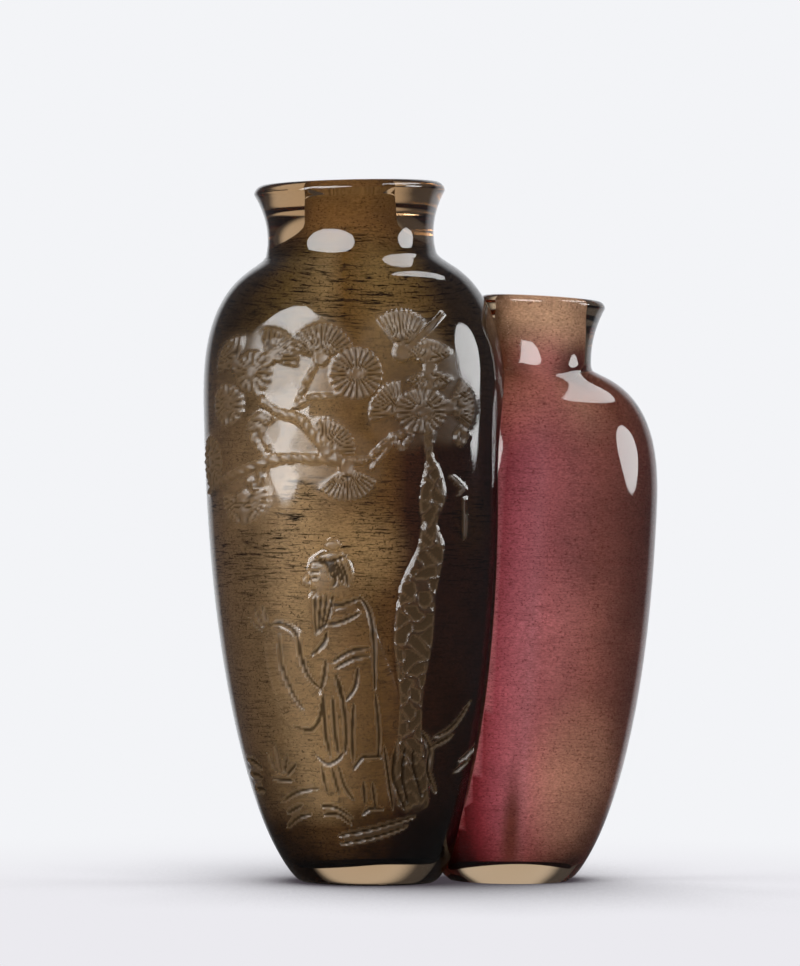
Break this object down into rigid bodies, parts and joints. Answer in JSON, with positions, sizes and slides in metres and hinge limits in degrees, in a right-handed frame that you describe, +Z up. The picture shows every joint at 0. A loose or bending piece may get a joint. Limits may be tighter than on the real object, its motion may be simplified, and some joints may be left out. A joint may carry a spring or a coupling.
{
  "type": "snuff bottle",
  "caption": "Conjoined twin snuff bottle of smoky crystal: a tall vase carved with a pine and a robed scholar, joined to a smaller plain rose-lined vase, open at both necks.",
  "frame": {"origin": "on the ground plane under the middle of the bottle's box", "axes": "+Z up, -Y out of the carved front, the tall vase at -X and the small one at +X"},
  "size_m": [0.0468, 0.0222, 0.0699],
  "materials": {
    "smoky_crystal": "polished rock crystal with a smoky amber tint",
    "brown_lining": "dry brown residue on the inner wall, streaked and cracked",
    "rose_lining": "rose stain on the inner wall, finely speckled"
  },
  "bodies": {
    "root": {"double_bottle": "smoky_crystal"}
  },
  "joints": []
}
